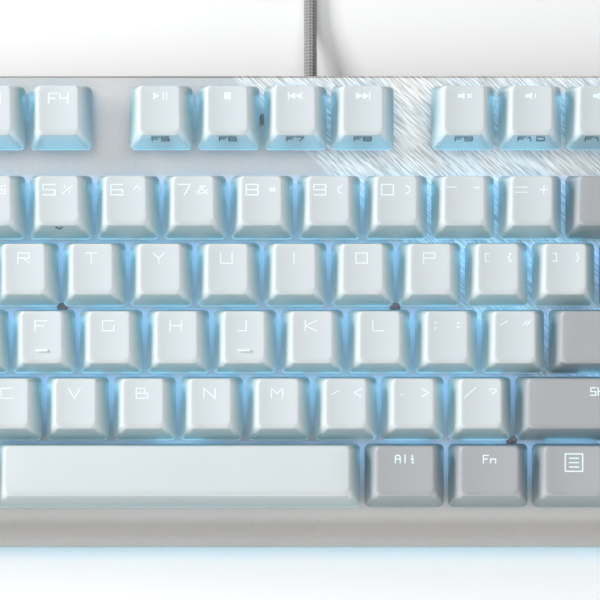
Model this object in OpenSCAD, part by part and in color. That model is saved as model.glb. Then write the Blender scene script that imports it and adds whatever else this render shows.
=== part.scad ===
// Compact mechanical keyboard of 87 keys with a bent aluminium top plate.
// +X is to the right, +Y to the back, +Z up. The origin is on the desk, under the
// middle of the case. The deck carries everything above the tray and is tilted.

/* [Layout] */
// Distance between the middles of two neighbouring keys
key_pitch = 19.05; // [18.9:0.05:19.2]
// Gap between two keycaps from side to side
side_gap = 1.25; // [1.1:0.05:1.5]
// Gap between two keycaps from front to back
row_gap = 0.95; // [0.8:0.05:1.2]
// Extra gap behind the number row, in key pitches
function_gap_u = 0.333; // [0.25:0.01:0.36]
// Half distance of the stabilizers on keys of 2 to 2.75 pitches
stab_half = 12; // [11.9:0.1:12.4]
// Half distance of the stabilizers under the space bar
space_stab_half = 38.1; // [36:0.1:40]

/* [Case] */
// Width of the top plate
plate_w = 356; // [355:0.5:362]
// Depth of the deck from its front edge to its back edge
deck_d = 136; // [135.5:0.5:138]
// Height of the middle of the deck above the desk
deck_h = 18; // [17.8:0.1:20]
// Tilt of the deck, higher at the back
deck_tilt = 4; // [3:0.5:5]
// Thickness of the top plate
plate_t = 1.5; // [1.2:0.1:1.5]
// Outer radius of the plate's bent front lip
lip_r = 12; // [11:0.1:12]
// Thickness of the tray's floor
floor_t = 2; // [1.6:0.1:2]
// Thickness of the rubber feet
pad_t = 1; // [0.8:0.1:1]
// Overhang of the plate past the tray
overhang = 1; // [0.5:0.1:1.5]

/* [Keys] */
// Height of the keycaps' lower rims above the plate
cap_lift = 6; // [5.8:0.1:6.4]
// How far a key travels down
travel = 4; // [3.5:0.1:4]
// Run of the keycaps' side slopes, for each millimetre of height
side_slope = 0.318; // [0.28:0.002:0.32]
// Wall of the keycaps
cap_wall = 1.4; // [1.2:0.1:1.4]
// Depth of the dish in the top of a keycap
dish_sag = 0.55; // [0.4:0.05:0.6]

/* [Feet] */
// Width of a folding tilt foot
foot_w = 33; // [30:0.5:33]
// Length of a folding tilt foot from its hinge to its tip
foot_len = 21; // [18:0.5:21]

/* [Cable] */
// Diameter of the braided cable
cable_d = 3.7; // [3.5:0.1:3.8]
// Radius of the middle turn of the stored coil
coil_r = 22; // [21:0.5:23]

/* [Hidden] */
letter_rows = [["qwertyuiop", 1.5, 2], ["asdfghjkl", 1.75, 3], ["zxcvbnm", 2.25, 4]];
// Each letter key: its name, the places from the left in pitches, its width and row
LETTERS = [
    for (r = letter_rows) for (i = [0 : len(r[0]) - 1])
        [str("key_", r[0][i]), [[r[1] + i, 1, r[2]]]]
];
WHITE_KEYS = concat(LETTERS, [
    ["key_space", [[4.5, 5.5, 5]]],
    ["function_keys", concat([[0, 1, 0]],
        [for (i = [0 : 11]) [2 + i + 0.5 * floor(i / 4), 1, 0]])],
    ["number_keys", [for (i = [0 : 12]) [i, 1, 1]]],
    ["punctuation_keys", [[11.5, 1, 2], [12.5, 1, 2], [13.5, 1.5, 2], [10.75, 1, 3],
        [11.75, 1, 3], [9.25, 1, 4], [10.25, 1, 4], [11.25, 1, 4]]]
]);
GREY_KEYS = [
    ["key_enter", [[12.75, 2.25, 3]]],
    ["key_backspace", [[13, 2, 1]]],
    ["key_left_shift", [[0, 2.25, 4]]],
    ["key_right_shift", [[12.25, 2.75, 4]]],
    ["modifier_keys", [[0, 1.5, 2], [0, 1.75, 3], [0, 2, 5], [2, 1.25, 5], [3.25, 1.25, 5],
        [10, 1.25, 5], [11.25, 1.25, 5], [12.5, 1.25, 5], [13.75, 1.25, 5]]],
    ["navigation_keys", [for (r = [0 : 2]) for (i = [0 : 2]) [15.25 + i, 1, r]]],
    ["arrow_keys", [[16.25, 1, 4], [15.25, 1, 5], [16.25, 1, 5], [17.25, 1, 5]]]
];
KEY_NODES = concat(WHITE_KEYS, GREY_KEYS);

ALL_KEYS = [for (k = KEY_NODES) for (p = k[1]) p];
MATRIX_U = 18.25;
NARROWEST_STABILIZED_U = 2;
// The one key that is wider than this is the space bar
WIDEST_COMMON_U = 4;
white = [0.93, 0.95, 0.97];
grey = [0.62, 0.64, 0.67];
black = [0.12, 0.12, 0.13];
silver = [0.78, 0.79, 0.8];

// Rows from the function row at the back to the space row at the front
number_row_y = 30.1;
row_y = [for (r = [0 : 5])
    number_row_y - key_pitch * (r - 1) + (r == 0 ? key_pitch * function_gap_u : 0)];
cap_front_h = [8.8, 8.8, 8.2, 8.2, 8.8, 8.9];
cap_back_h = [10.8, 10.8, 9.6, 8.9, 8.8, 8.5];
cap_front_run = [4.2, 4.1, 3.6, 3.2, 3.9, 4];
cap_back_run = 0.4;
cap_d = key_pitch - row_gap;
cap_corner_r = 1.6;
roof_t = 2;

// Switches, measured from the top of the plate
board_top = -5;
board_t = 1.6;
board_inset = 4;
board_front = -54.5;
board_d = 118;
cutout = 14;
base_w = 13.8;
flange_w = 15.6;
flange_t = 1;
cover_top = 6.6;
base_floor = -4;
stem_low = base_floor + travel + 0.5;
stem_size = [7, 5.2];
stem_hole = [7.8, 6.2];
stem_top = 0.6;
stem_gap = 0.05;
cross_w = 4;
cross_t = 1.2;
cross_play = 0.2;
cross_top = 4.4;
post_d = 5.4;
spring_top = 4.6;
spring_d = 4;
spring_wall = 0.4;
contact_places = [[-2, -4.6], [2, -4.6]];
contact_size = [0.9, 0.4];
contact_hole_d = 1.4;
contact_top = -0.6;
contact_low = board_top - board_t - 1.6;
led_y = 5;
led_size = [3, 2, 2.4];
stab_size = [7, 12];
stab_well = [5.2, 7];
stab_stem_size = [4.4, 6];
stab_top = 2.2;
wire_y = -8.2;
wire_z = -3;
wire_d = 1.5;

// Screws through the plate into the tray's bosses, as places on the deck
screw_places = [[-145.3, 55.5], [-11.9, 55.5], [114.3, 55.5], [-69.1, 1.5], [26.2, 1.5],
    [-131, -36.55], [59.5, -36.55], [145.3, -8], [114.3, -46.1]];
screw_d = 1.8;
screw_len = 9;
screw_head_d = 3;
boss_d = 4.6;

// Parts under the board: place along X and Y, then size
components = [[128, -12, 10, 10, 1.2], [128, -24, 5, 3.2, 1], [136, -27, 6, 5, 1.4],
    [2, 44, 10, 5, 4]];

tray_w = plate_w - 2 * overhang;
tray_wall = 2.4;
tray_front = -64.5;
tray_back = 66.5;
cavity_front = -61;
floor_low = pad_t;
floor_high = pad_t + floor_t;
lip_y = -deck_d / 2 + lip_r;
// Brings the footprint's middle to the origin after the tilt
deck_shift = -0.45;

foot_x = 150;
foot_hinge = [57, 3.8];
foot_t = 3.6;
foot_gap = 0.3;
hinge_d = 5;
pin_d = 2.4;
pocket_wall = 2;
pocket_y = [34, 60.2];
pocket_top = 7.2;
pad_size = [24, 8];
pad_places = [[-150, -54], [150, -54], [-110, 58], [110, 58]];

exit_x = 2;
exit_z = 6.6;
notch_half = 5;
notch_y = 55;
notch_top = 12;
relief_end = 66.5;

// Route of the cable out of the case, and from the coil to the plug
lead_route = [[2, 66.5, 6.6], [2, 69, 6.6], [2, 77, 5.2], [2, 85, 3.1], [2, 94, 2],
    [2, 104, 1.9], [2, 114, 2.1], [2, 122, 2.4]];
tail_route = [[-2.6, 143, 13.5], [1.5, 148.2, 12.4], [7, 151.8, 10.6], [13.5, 153.4, 8.2],
    [20, 152.4, 6], [26.5, 149.4, 4.6], [30.5, 145, 4.1], [31.5, 140.5, 4], [31.5, 138, 4]];
coil_columns = 4;
coil_layers = 4;
coil_low = 0.6;
coil_center = [exit_x - coil_r - cable_d * (coil_columns - 1) / 2, 131];
coil_in = coil_r - cable_d * coil_columns / 2;
coil_out = coil_r + cable_d * coil_columns / 2;
coil_high = coil_low + cable_d * coil_layers;
plug_x = 31.5;
plug_back = 138;
plug_size = [16, 26, 8];
shell_size = [12, 12, 4.5];
shell_t = 0.4;
strap_w = 6;
strap_t = 0.6;
strap_gap = 0.2;

function key_x(k) = (k[0] + k[1] / 2 - MATRIX_U / 2) * key_pitch;
function is_space(k) = k[1] > WIDEST_COMMON_U;
function stab_of(k) = is_space(k) ? space_stab_half : stab_half;
function stabilized(k) = k[1] >= NARROWEST_STABILIZED_U;
function stab_places(k) = stabilized(k) ? [-stab_of(k), stab_of(k)] : [];
// A place on the deck, given along Y and Z, turned into the tray's level frame
function on_tray(y, z) = [deck_shift + y * cos(deck_tilt) - z * sin(deck_tilt),
    deck_h + y * sin(deck_tilt) + z * cos(deck_tilt)];

module on_deck() {
    translate([0, deck_shift, deck_h]) rotate([deck_tilt, 0, 0]) children();
}

module at_keys(keys) {
    for (k = keys) translate([key_x(k), row_y[k[2]], 0]) children();
}

// An outline given along Y and Z, as long as w along X
module along_x(w) {
    rotate([90, 0, 90]) linear_extrude(w, center = true) children();
}

// An outline given along X and Z, as long as d along Y
module along_y(d) {
    rotate([90, 0, 0]) linear_extrude(d, center = true) children();
}

module rounded_rect(w, d, r) {
    square([w - 2 * r, d], center = true);
    square([w, d - 2 * r], center = true);
    for (x = [-1, 1]) for (y = [-1, 1])
        translate([x * (w / 2 - r), y * (d / 2 - r)]) circle(r, $fn = 24);
}

module box(size, low) {
    translate([0, 0, low + size[2] / 2]) cube(size, center = true);
}

// A tube of eight sides along the points of a route that never runs straight up
module tube(route, d) {
    last = len(route) - 1;
    sides = 8;
    rings = [for (i = [0 : last])
        let (t = route[min(i + 1, last)] - route[max(i - 1, 0)],
            a = cross(t, [0, 0, 1]) / norm(cross(t, [0, 0, 1])),
            b = cross(a, t) / norm(t))
        [for (s = [0 : sides - 1])
            route[i] + d / 2 * (cos(s * 360 / sides) * a + sin(s * 360 / sides) * b)]];
    polyhedron(
        points = [for (ring = rings) for (p = ring) p],
        faces = concat(
            [[for (s = [0 : sides - 1]) s]],
            [[for (s = [sides - 1 : -1 : 0]) last * sides + s]],
            [for (i = [0 : last - 1]) for (s = [0 : sides - 1])
                [i * sides + s, (i + 1) * sides + s, (i + 1) * sides + (s + 1) % sides,
                i * sides + (s + 1) % sides]]));
}

// ---- keys: the cap's lower rim is at z = 0 ----

module cap_form(w, row, inset, top) {
    front = -cap_d / 2 + inset;
    back = cap_d / 2 - inset;
    intersection() {
        along_x(w) polygon([[front, -0.01], [back, -0.01],
            [back - cap_back_run, min(cap_back_h[row], top)],
            [front + cap_front_run[row] * min(1, top / cap_front_h[row]),
                min(cap_front_h[row], top)]]);
        along_y(cap_d) polygon([[-w / 2 + inset, -0.01], [w / 2 - inset, -0.01],
            [w / 2 - inset - side_slope * 12, 12], [-w / 2 + inset + side_slope * 12, 12]]);
    }
}

module cap_dish(w, row) {
    chord = w - 2 * side_slope * cap_back_h[row];
    r = chord * chord / 8 / dish_sag;
    run = cap_d - cap_front_run[row] - cap_back_run;
    translate([0, (cap_front_run[row] - cap_back_run) / 2, (cap_front_h[row] + cap_back_h[row]) / 2])
        rotate([atan((cap_back_h[row] - cap_front_h[row]) / run), 0, 0])
            translate([0, 0, r - dish_sag]) rotate([90, 0, 0])
                cylinder(h = 2 * cap_d, r = r, center = true, $fn = 4 * floor(r));
}

module cross_shape(size, t, low, high) {
    box([size, t, high - low], low);
    box([t, size, high - low], low);
}

module keycap(k) {
    w = k[1] * key_pitch - side_gap;
    row = k[2];
    roof = min(cap_front_h[row], cap_back_h[row]) - roof_t;
    difference() {
        intersection() {
            cap_form(w, row, 0, 20);
            linear_extrude(20) rounded_rect(w, cap_d, cap_corner_r);
        }
        if (!is_space(k)) cap_dish(w, row);
        cap_form(w, row, cap_wall, roof);
    }
    for (x = concat([0], stab_places(k))) translate([x, 0, 0]) difference() {
        translate([0, 0, stem_top + stem_gap])
            cylinder(h = roof + 0.3 - stem_top - stem_gap, d = post_d, $fn = 24);
        cross_shape(cross_w + cross_play, cross_t + cross_play, stem_top - 0.1, cross_top + cross_play);
    }
}

module stem() {
    difference() {
        box([stem_size[0], stem_size[1], cap_lift + stem_top - stem_low], stem_low - cap_lift);
        translate([0, 0, stem_low - cap_lift - 1])
            cylinder(h = spring_top - stem_low + 1, d = spring_d + 0.4, $fn = 24);
    }
    cross_shape(cross_w, cross_t, stem_top - 0.01, cross_top);
}

module stab_stem() {
    box([stab_stem_size[0], stab_stem_size[1], cap_lift + stem_top - stem_low], stem_low - cap_lift);
    cross_shape(cross_w, cross_t, stem_top - 0.01, cross_top);
}

// Caps and their stems, each a separate solid
module key_node(keys, shade) {
    on_deck() for (k = keys) translate([key_x(k), row_y[k[2]], cap_lift]) {
        color(shade) keycap(k);
        color([0.35, 0.7, 0.9]) stem();
        color([0.85, 0.85, 0.87]) for (x = stab_places(k)) translate([x, 0, 0]) stab_stem();
    }
}

// ---- switches, measured from the top of the plate ----

module switch_base() {
    inner = base_w - 2.4;
    difference() {
        union() {
            box([base_w, base_w, -board_top], board_top);
            box([flange_w, flange_w, flange_t], 0);
            translate([0, 0, board_top - board_t - 0.6])
                cylinder(h = board_t + 1, d = 4, $fn = 24);
        }
        box([inner, inner, flange_t - base_floor + 1], base_floor);
        translate([0, led_y, 0]) box([led_size[0] + 0.4, led_size[1] + 0.4, 4], board_top - 1);
        for (p = contact_places) translate([p[0], p[1], board_top - 1])
            cylinder(h = 3, d = contact_hole_d, $fn = 24);
    }
}

module switch_bases() {
    color([0.75, 0.85, 0.9]) on_deck() at_keys(ALL_KEYS) switch_base();
}

module frustum(w0, d0, z0, w1, d1, z1) {
    intersection() {
        along_y(w0 + d0) polygon([[-w0 / 2, z0], [w0 / 2, z0], [w1 / 2, z1], [-w1 / 2, z1]]);
        along_x(w0 + d0) polygon([[-d0 / 2, z0], [d0 / 2, z0], [d1 / 2, z1], [-d1 / 2, z1]]);
    }
}

module switch_cover() {
    difference() {
        frustum(base_w, base_w, flange_t, 10.8, 9.6, cover_top);
        frustum(11.4, 11.4, flange_t - 0.01, 8.8, 7.8, cover_top - 1);
        box([stem_hole[0], stem_hole[1], 4], cover_top - 2);
    }
}

module switch_covers() {
    color([0.85, 0.93, 0.97]) on_deck() at_keys(ALL_KEYS) switch_cover();
}

module switch_contacts() {
    color("goldenrod") on_deck() at_keys(ALL_KEYS) for (p = contact_places) translate(p)
        box([contact_size[0], contact_size[1], contact_top - contact_low], contact_low);
}

module switch_springs() {
    color("gainsboro") on_deck() at_keys(ALL_KEYS) difference() {
        translate([0, 0, base_floor])
            cylinder(h = spring_top - base_floor, d = spring_d, $fn = 24);
        translate([0, 0, base_floor - 1])
            cylinder(h = spring_top - base_floor + 2, d = spring_d - 2 * spring_wall, $fn = 24);
    }
}

module key_leds() {
    color([0.45, 0.8, 1]) on_deck() at_keys(ALL_KEYS) translate([0, led_y, 0])
        box(led_size, board_top);
}

module stabilizer_housing() {
    difference() {
        box([stab_size[0], stab_size[1], stab_top - board_top], board_top);
        box([stab_well[0], stab_well[1], 10], base_floor);
        translate([0, -4, 0]) box([2.1, 6, 3], wire_z - 1.5);
    }
}

module at_stabilizers() {
    for (k = ALL_KEYS) for (x = stab_places(k)) translate([key_x(k) + x, row_y[k[2]], 0]) children();
}

module stabilizer_housings() {
    color([0.85, 0.87, 0.9]) on_deck() at_stabilizers() stabilizer_housing();
}

module stabilizer_wires() {
    color("silver") on_deck() for (k = ALL_KEYS) if (stabilized(k))
        translate([key_x(k), row_y[k[2]], wire_z]) {
            translate([0, wire_y, 0]) rotate([0, 90, 0])
                cylinder(h = 2 * stab_of(k) + wire_d, d = wire_d, center = true, $fn = 8);
            for (x = stab_places(k)) translate([x, wire_y, 0]) rotate([-90, 0, 0])
                cylinder(h = -wire_y - 3.4, d = wire_d, $fn = 8);
        }
}

// ---- case ----

module top_plate() {
    color(silver) on_deck() {
        difference() {
            translate([0, 0, -plate_t]) linear_extrude(plate_t) difference() {
                translate([-plate_w / 2, lip_y]) square([plate_w, deck_d / 2 - lip_y]);
                at_keys(ALL_KEYS) square(cutout, center = true);
                for (k = ALL_KEYS) for (x = stab_places(k))
                    translate([key_x(k) + x, row_y[k[2]]])
                        square([stab_size[0] + 0.2, stab_size[1] + 0.2], center = true);
                for (p = screw_places) translate(p) circle(d = screw_d + 0.4, $fn = 24);
            }
            edge_bevels();
        }
        along_x(plate_w) translate([lip_y, -lip_r]) intersection() {
            difference() {
                circle(lip_r, $fn = 128);
                circle(lip_r - plate_t, $fn = 128);
            }
            translate([-lip_r, 0]) square([lip_r, lip_r]);
        }
    }
}

// Narrow bevels along the back edge and the side edges of the plate
module edge_bevels() {
    bevel = 0.8;
    translate([0, deck_d / 2, 0]) rotate([45, 0, 0]) cube([plate_w + 4, bevel, bevel], center = true);
    for (x = [-1, 1]) translate([x * plate_w / 2, 0, 0]) rotate([0, 45, 0])
        cube([bevel, deck_d + 4, bevel], center = true);
}

module boss_columns(d, low) {
    on_deck() for (p = screw_places) translate([p[0], p[1], low])
        cylinder(h = -plate_t - low, d = d, $fn = 24);
}

module circuit_board() {
    color([0.1, 0.25, 0.2]) on_deck() translate([0, 0, board_top - board_t])
        linear_extrude(board_t) difference() {
            translate([-tray_w / 2 + board_inset, board_front]) square([tray_w - 2 * board_inset, board_d]);
            at_keys(ALL_KEYS) {
                circle(d = 4.3, $fn = 24);
                for (p = contact_places) translate(p) circle(d = contact_hole_d, $fn = 24);
            }
            for (p = screw_places) translate(p) circle(d = boss_d + 0.8, $fn = 24);
        }
}

module board_components() {
    under = board_top - board_t;
    color([0.15, 0.15, 0.16]) on_deck() for (c = components)
        translate([c[0], c[1], 0]) box([c[2], c[3], c[4]], under - c[4]);
}

module tray_outline() {
    polygon([[tray_front, floor_low], [tray_back, floor_low], on_tray(deck_d / 2 - overhang, -plate_t),
        on_tray(lip_y - 1, -plate_t - 0.3), on_tray(lip_y - 9.8, -lip_r + 0.4)]);
}

module tray_cavity() {
    polygon([[cavity_front, floor_high], [tray_back - tray_wall, floor_high],
        on_tray(deck_d / 2 - overhang - tray_wall, 5), on_tray(lip_y + 0.8, 5),
        on_tray(lip_y + 0.8, -plate_t)]);
}

module foot_pocket_walls(x) {
    translate([x, (pocket_y[0] + pocket_y[1]) / 2, 0])
        box([foot_w + 2 * foot_gap + 2 * pocket_wall, pocket_y[1] - pocket_y[0] + 2 * pocket_wall,
            pocket_top + pocket_wall - floor_low], floor_low);
}

module foot_pocket(x) {
    translate([x, (pocket_y[0] + pocket_y[1]) / 2, 0])
        box([foot_w + 2 * foot_gap, pocket_y[1] - pocket_y[0], pocket_top], 0);
    translate([x, foot_hinge[0], foot_hinge[1]]) rotate([0, 90, 0])
        cylinder(h = foot_w + 4 * pocket_wall, d = pin_d + 0.4, center = true, $fn = 24);
}

module bottom_case() {
    color(black) difference() {
        union() {
            difference() {
                along_x(tray_w) tray_outline();
                along_x(tray_w - 2 * tray_wall) tray_cavity();
            }
            intersection() {
                boss_columns(boss_d, -24);
                translate([-tray_w / 2, -70, floor_low + 0.5]) cube([tray_w, 140, 40]);
            }
            for (x = [-foot_x, foot_x]) foot_pocket_walls(x);
            translate([exit_x, (notch_y - 2 + 65) / 2, 0])
                box([2 * notch_half + 4, 65 - notch_y + 2, notch_top + 2 - floor_low], floor_low);
        }
        for (x = [-foot_x, foot_x]) foot_pocket(x);
        translate([exit_x, notch_y + 15, 0]) box([2 * notch_half, 30, notch_top + 5], -5);
        translate([exit_x, notch_y - 5, exit_z]) rotate([-90, 0, 0])
            cylinder(h = 10, d = 4.4, $fn = 24);
        boss_columns(screw_d + 0.3, -screw_len - plate_t);
    }
}

module case_screws() {
    color([0.3, 0.3, 0.32]) on_deck() for (p = screw_places) translate(p) difference() {
        union() {
            cylinder(h = 1, d = screw_head_d, $fn = 24);
            translate([0, 0, -screw_len]) cylinder(h = screw_len + 0.1, d = screw_d, $fn = 24);
        }
        cross_shape(2, 0.5, 0.4, 2);
    }
}

module rubber_feet() {
    straight = pad_size[0] - pad_size[1];
    color([0.08, 0.08, 0.08]) for (p = pad_places) translate(p) linear_extrude(pad_t) {
        square([straight, pad_size[1]], center = true);
        for (x = [-0.5, 0.5]) translate([x * straight, 0]) circle(d = pad_size[1], $fn = 32);
    }
}

// A folding foot about its hinge, lying forward under the tray
module tilt_foot(x) {
    color(black) translate([x, foot_hinge[0], foot_hinge[1]]) {
        rotate([0, 90, 0]) cylinder(h = foot_w, d = hinge_d, center = true, $fn = 32);
        rotate([0, 90, 0])
            cylinder(h = foot_w + 2 * pocket_wall, d = pin_d, center = true, $fn = 24);
        difference() {
            along_x(foot_w) polygon([[0, -2.5], [0, foot_t - 2.5], [2 - foot_len, foot_t - 2.5],
                [-foot_len, foot_t - 4.5], [1.5 - foot_len, -2.5]]);
            translate([0, 4 - foot_len, 0]) box([12, 3, 3], 0.2);
        }
    }
}

module left_tilt_foot() {
    tilt_foot(-foot_x);
}

module right_tilt_foot() {
    tilt_foot(foot_x);
}

// ---- cable ----

module cable_strain_relief() {
    color([0.5, 0.52, 0.54]) translate([exit_x, notch_y - 3.7, exit_z]) rotate([-90, 0, 0])
        rotate_extrude($fn = 32) polygon([[0, 0], [3.4, 0], [3.4, 1.6], [2, 1.6], [2, 3.8],
            [2.9, 3.8], [2.9, 5.2], [cable_d / 2 + 0.3, relief_end - notch_y + 3.7],
            [0, relief_end - notch_y + 3.7]]);
}

module inner_lead() {
    color("white") for (x = [-2.4, -0.8, 0.8, 2.4])
        tube([[exit_x + x, 51.2, 6.6], [exit_x + x, 48, 6.9], [exit_x + x, 45.6, 8.2],
            [exit_x + x, 44.8, 10.1]], 1.2);
}

module usb_cable() {
    color([0.55, 0.57, 0.6]) tube(lead_route, cable_d);
}

module cable_tail() {
    color([0.55, 0.57, 0.6]) tube(tail_route, cable_d);
}

module cable_coil() {
    color([0.55, 0.57, 0.6]) translate([coil_center[0], coil_center[1], 0])
        rotate_extrude($fn = 96) translate([coil_in, coil_low])
            square([coil_out - coil_in, coil_high - coil_low]);
}

// A strap around the bundle of turns
module cable_tie() {
    // The inner run of the strap stands off by the bow of the coil's inner side
    bow = coil_in - sqrt(pow(coil_in, 2) - pow(strap_w / 2, 2));
    inner = coil_in - bow - strap_gap;
    outer = coil_out + strap_gap;
    color(black) translate([coil_center[0], coil_center[1], 0]) rotate([0, 0, 200])
        along_y(strap_w) difference() {
            translate([inner - strap_t, 0])
                square([outer - inner + 2 * strap_t, coil_high + strap_gap + strap_t]);
            translate([inner, coil_low - strap_gap / 2])
                square([outer - inner, coil_high - coil_low + 1.5 * strap_gap]);
        }
}

module usb_plug_body() {
    color(black) translate([plug_x, plug_back - plug_size[1] / 2, plug_size[2] / 2]) {
        along_y(plug_size[1]) rounded_rect(plug_size[0], plug_size[2], 2);
        translate([0, -plug_size[1] / 2 - 5, 0.8]) cube([10, 10.02, 1.4], center = true);
    }
}

module usb_plug_shell() {
    color("silver") translate([plug_x, plug_back - plug_size[1] - shell_size[1] / 2, plug_size[2] / 2])
        along_y(shell_size[1]) difference() {
            square([shell_size[0], shell_size[2]], center = true);
            square([shell_size[0] - 2 * shell_t, shell_size[2] - 2 * shell_t], center = true);
        }
}

for (k = WHITE_KEYS) key_node(k[1], white);
for (k = GREY_KEYS) key_node(k[1], grey);
bottom_case();
top_plate();
circuit_board();
board_components();
switch_bases();
switch_covers();
switch_contacts();
switch_springs();
key_leds();
stabilizer_housings();
stabilizer_wires();
case_screws();
rubber_feet();
left_tilt_foot();
right_tilt_foot();
cable_strain_relief();
inner_lead();
usb_cable();
cable_coil();
cable_tail();
cable_tie();
usb_plug_body();
usb_plug_shell();
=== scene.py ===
import math

import bpy
from mathutils import Matrix, Vector


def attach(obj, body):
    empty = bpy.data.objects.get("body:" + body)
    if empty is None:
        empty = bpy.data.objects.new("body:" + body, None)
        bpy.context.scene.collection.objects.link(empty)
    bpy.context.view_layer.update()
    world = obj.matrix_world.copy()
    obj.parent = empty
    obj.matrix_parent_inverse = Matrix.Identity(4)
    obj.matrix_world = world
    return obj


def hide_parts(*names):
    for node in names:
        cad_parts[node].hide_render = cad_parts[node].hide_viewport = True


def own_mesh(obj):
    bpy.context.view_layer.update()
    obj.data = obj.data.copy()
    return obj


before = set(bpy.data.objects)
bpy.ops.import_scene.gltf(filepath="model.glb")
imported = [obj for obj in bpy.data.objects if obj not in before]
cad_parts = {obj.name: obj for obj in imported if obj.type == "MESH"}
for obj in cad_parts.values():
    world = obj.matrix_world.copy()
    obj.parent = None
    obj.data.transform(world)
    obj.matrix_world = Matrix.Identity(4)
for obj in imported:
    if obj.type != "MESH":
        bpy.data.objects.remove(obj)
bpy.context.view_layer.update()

# ---- the design's own sizes, in metres, as part.scad has them ----
MM = 0.001
PITCH = 19.05 * MM
MATRIX_U = 18.25
MAIN_BLOCK_U = 15
SIDE_GAP = 1.25 * MM
CAP_DEPTH = 18.1 * MM
CAP_LIFT = 6 * MM
CAP_BACK_RUN = 0.4 * MM
SIDE_SLOPE = 0.318
SIDE_H = 9.6 * MM
DISH_SAG = 0.55 * MM
WALL = 1.3 * MM
BASE_CORNER = 1.6 * MM
TOP_CORNER = 1.25 * MM
FRONT_CORNER = 2.0 * MM
EDGE_ROUND = 0.65 * MM
FUNCTION_ROW_Y = 55.5 * MM
NUMBER_ROW_Y = 30.1 * MM
ROW_Y = [FUNCTION_ROW_Y] + [NUMBER_ROW_Y - i * PITCH for i in range(5)]
# Each row: height of the top's front edge and back edge, and run of the front slope
ROW_FORM = [(8.8, 10.8, 4.2), (8.8, 10.8, 4.1), (8.2, 9.6, 3.6),
            (8.2, 8.9, 3.2), (8.8, 8.8, 3.9), (8.9, 8.5, 4.0)]
SPACE_ROW = 5
NARROWEST_STABILIZED_U = 2
WIDEST_COMMON_U = 4
STEM_LOW = -5.5 * MM
STEM_TOP = 0.6 * MM
CROSS_TOP = 4.4 * MM
CROSS_ARM, CROSS_HALF = 0.6 * MM, 2 * MM
SOCKET_R = 2.7 * MM
STEM_HALF_W, STEM_HALF_D = 3.5 * MM, 2.6 * MM
STAB_STEM_HALF_W = 2.2 * MM
STAB_HALF = 12 * MM
SPACE_STAB_HALF = 38.1 * MM
TILT = math.radians(4)
DECK_SHIFT = -0.45 * MM
DECK_H = 18 * MM
DECK = Matrix.Translation((0, DECK_SHIFT, DECK_H)) @ Matrix.Rotation(TILT, 4, "X")
DECK_UP = DECK.to_3x3() @ Vector((0, 0, 1))
DECK_BACK = DECK.to_3x3() @ Vector((0, 1, 0))

# The cable's route in millimetres, as part.scad has it
CABLE_D = 3.7 * MM
LEAD_ROUTE = [(2, 66.5, 6.6), (2, 69, 6.6), (2, 77, 5.2), (2, 85, 3.1), (2, 94, 2), (2, 104, 1.9),
              (2, 114, 2.1), (2, 122, 2.4)]
TAIL_ROUTE = [(-2.6, 143, 13.5), (1.5, 148.2, 12.4), (7, 151.8, 10.6), (13.5, 153.4, 8.2), (20, 152.4, 6),
              (26.5, 149.4, 4.6), (30.5, 145, 4.1), (31.5, 140.5, 4), (31.5, 138, 4)]
PLUG_X, PLUG_BACK = 31.5 * MM, 138 * MM
PLUG_W, PLUG_L, PLUG_T = 16 * MM, 26 * MM, 8 * MM
PLUG_CORNER = 2 * MM
TONGUE_HALF_W, TONGUE_L = 5 * MM, 10 * MM
COIL_R = 22 * MM
COIL_COLUMNS = 4
COIL_Y = 131 * MM
COIL_LOW = 0.6 * MM


# ---- camera, square on to the deck ----

def look(location, target, up):
    """A camera-like rotation at location, facing target, with up towards the picture's top."""
    back = (Vector(location) - Vector(target)).normalized()
    side = Vector(up).cross(back).normalized()
    top = back.cross(side)
    turn = Matrix((side, top, back)).transposed().to_4x4()
    return Matrix.Translation(location) @ turn


def make_camera():
    """A long lens square on to the deck, over the middle of the keyboard as in the photograph."""
    target = DECK @ Vector((-1.05 * MM, 3.8 * MM, CAP_LIFT))
    distance = 0.85
    half_view = 85.4 * MM
    data = bpy.data.cameras.new("camera")
    data.sensor_width = 36
    data.lens = data.sensor_width / 2 * distance / half_view
    data.clip_start = 0.05
    data.clip_end = 20
    camera = bpy.data.objects.new("camera", data)
    camera.matrix_world = look(target + DECK_UP * distance, target, DECK_BACK)
    bpy.context.scene.collection.objects.link(camera)
    bpy.context.scene.camera = camera


make_camera()


# ---- materials ----

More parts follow.
